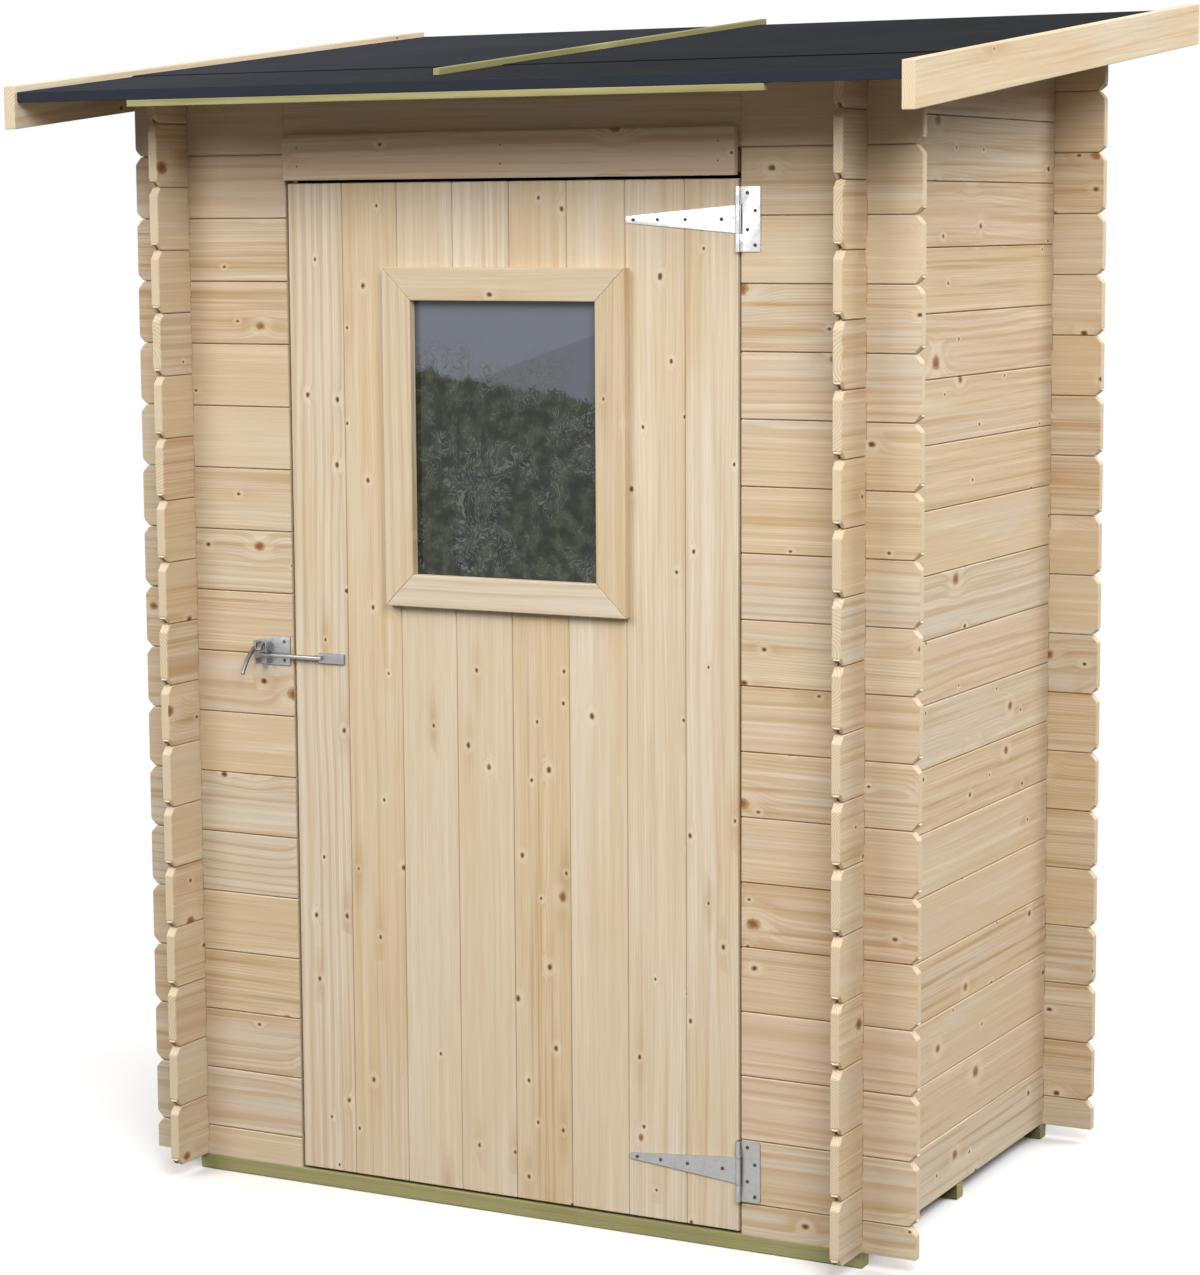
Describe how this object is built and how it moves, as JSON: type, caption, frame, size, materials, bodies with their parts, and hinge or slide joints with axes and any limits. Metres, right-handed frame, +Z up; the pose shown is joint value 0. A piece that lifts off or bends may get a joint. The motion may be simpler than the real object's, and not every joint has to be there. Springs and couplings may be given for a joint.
{
  "type": "lean-to garden shed",
  "caption": "Small lean-to garden shed of interlocked boards with a single-pitch felt roof and one glazed door on strap hinges.",
  "frame": {"origin": "on the ground under the middle of the base, on the underside of the middle bearer", "axes": "+Z up; +X to the right along the front as seen from outside; +Y from the door towards the back"},
  "size_m": [1.721, 1.447, 2.1601],
  "materials": {
    "wall_wood": "unfinished planed spruce",
    "door_wood": "unfinished planed spruce",
    "trim_wood": "unfinished planed spruce",
    "floor_wood": "unfinished planed spruce",
    "treated_wood": "green pressure-treated softwood",
    "roofing_felt": "matt dark bitumen felt",
    "galvanised_steel": "bright zinc",
    "latch_steel": "dull zinc",
    "glass": "clear single glazing"
  },
  "bodies": {
    "shed": {"bearer_front": "treated_wood", "bearer_middle": "treated_wood", "bearer_back": "treated_wood", "floor_deck": "floor_wood", "front_wall_left": "wall_wood", "front_wall_right": "wall_wood", "front_wall_head": "wall_wood", "back_wall": "wall_wood", "side_wall_left": "wall_wood", "side_wall_right": "wall_wood", "door_jamb_left": "trim_wood", "door_jamb_right": "trim_wood", "door_jamb_head": "trim_wood", "door_head_board": "trim_wood", "roof_deck": "floor_wood", "roof_felt": "roofing_felt", "barge_board_left": "trim_wood", "barge_board_right": "trim_wood", "roof_batten": "treated_wood", "eaves_lath": "treated_wood", "hinge_plate_top": "galvanised_steel", "hinge_plate_bottom": "galvanised_steel", "hinge_pin_top": "galvanised_steel", "hinge_pin_bottom": "galvanised_steel", "latch_plate": "galvanised_steel"},
    "door": {"door_leaf": "door_wood", "door_ledge_top": "trim_wood", "door_ledge_middle": "trim_wood", "door_ledge_bottom": "trim_wood", "window_casing": "trim_wood", "window_casing_inner": "trim_wood", "window_glass": "glass", "hinge_strap_top": "galvanised_steel", "hinge_strap_bottom": "galvanised_steel", "striker_bar": "galvanised_steel"},
    "latch": {"latch_lever": "latch_steel"}
  },
  "joints": [
    {"name": "door_swing", "type": "hinge", "parent": "shed", "child": "door", "pos_m": [0.444, -0.4565, 0.95], "axis": [0, 0, 1], "range_deg": [0, 120]},
    {"name": "latch_turn", "type": "hinge", "parent": "shed", "child": "latch", "pos_m": [-0.504, -0.46, 0.996], "axis": [1, 0, 0], "range_deg": [0, 45]}
  ]
}
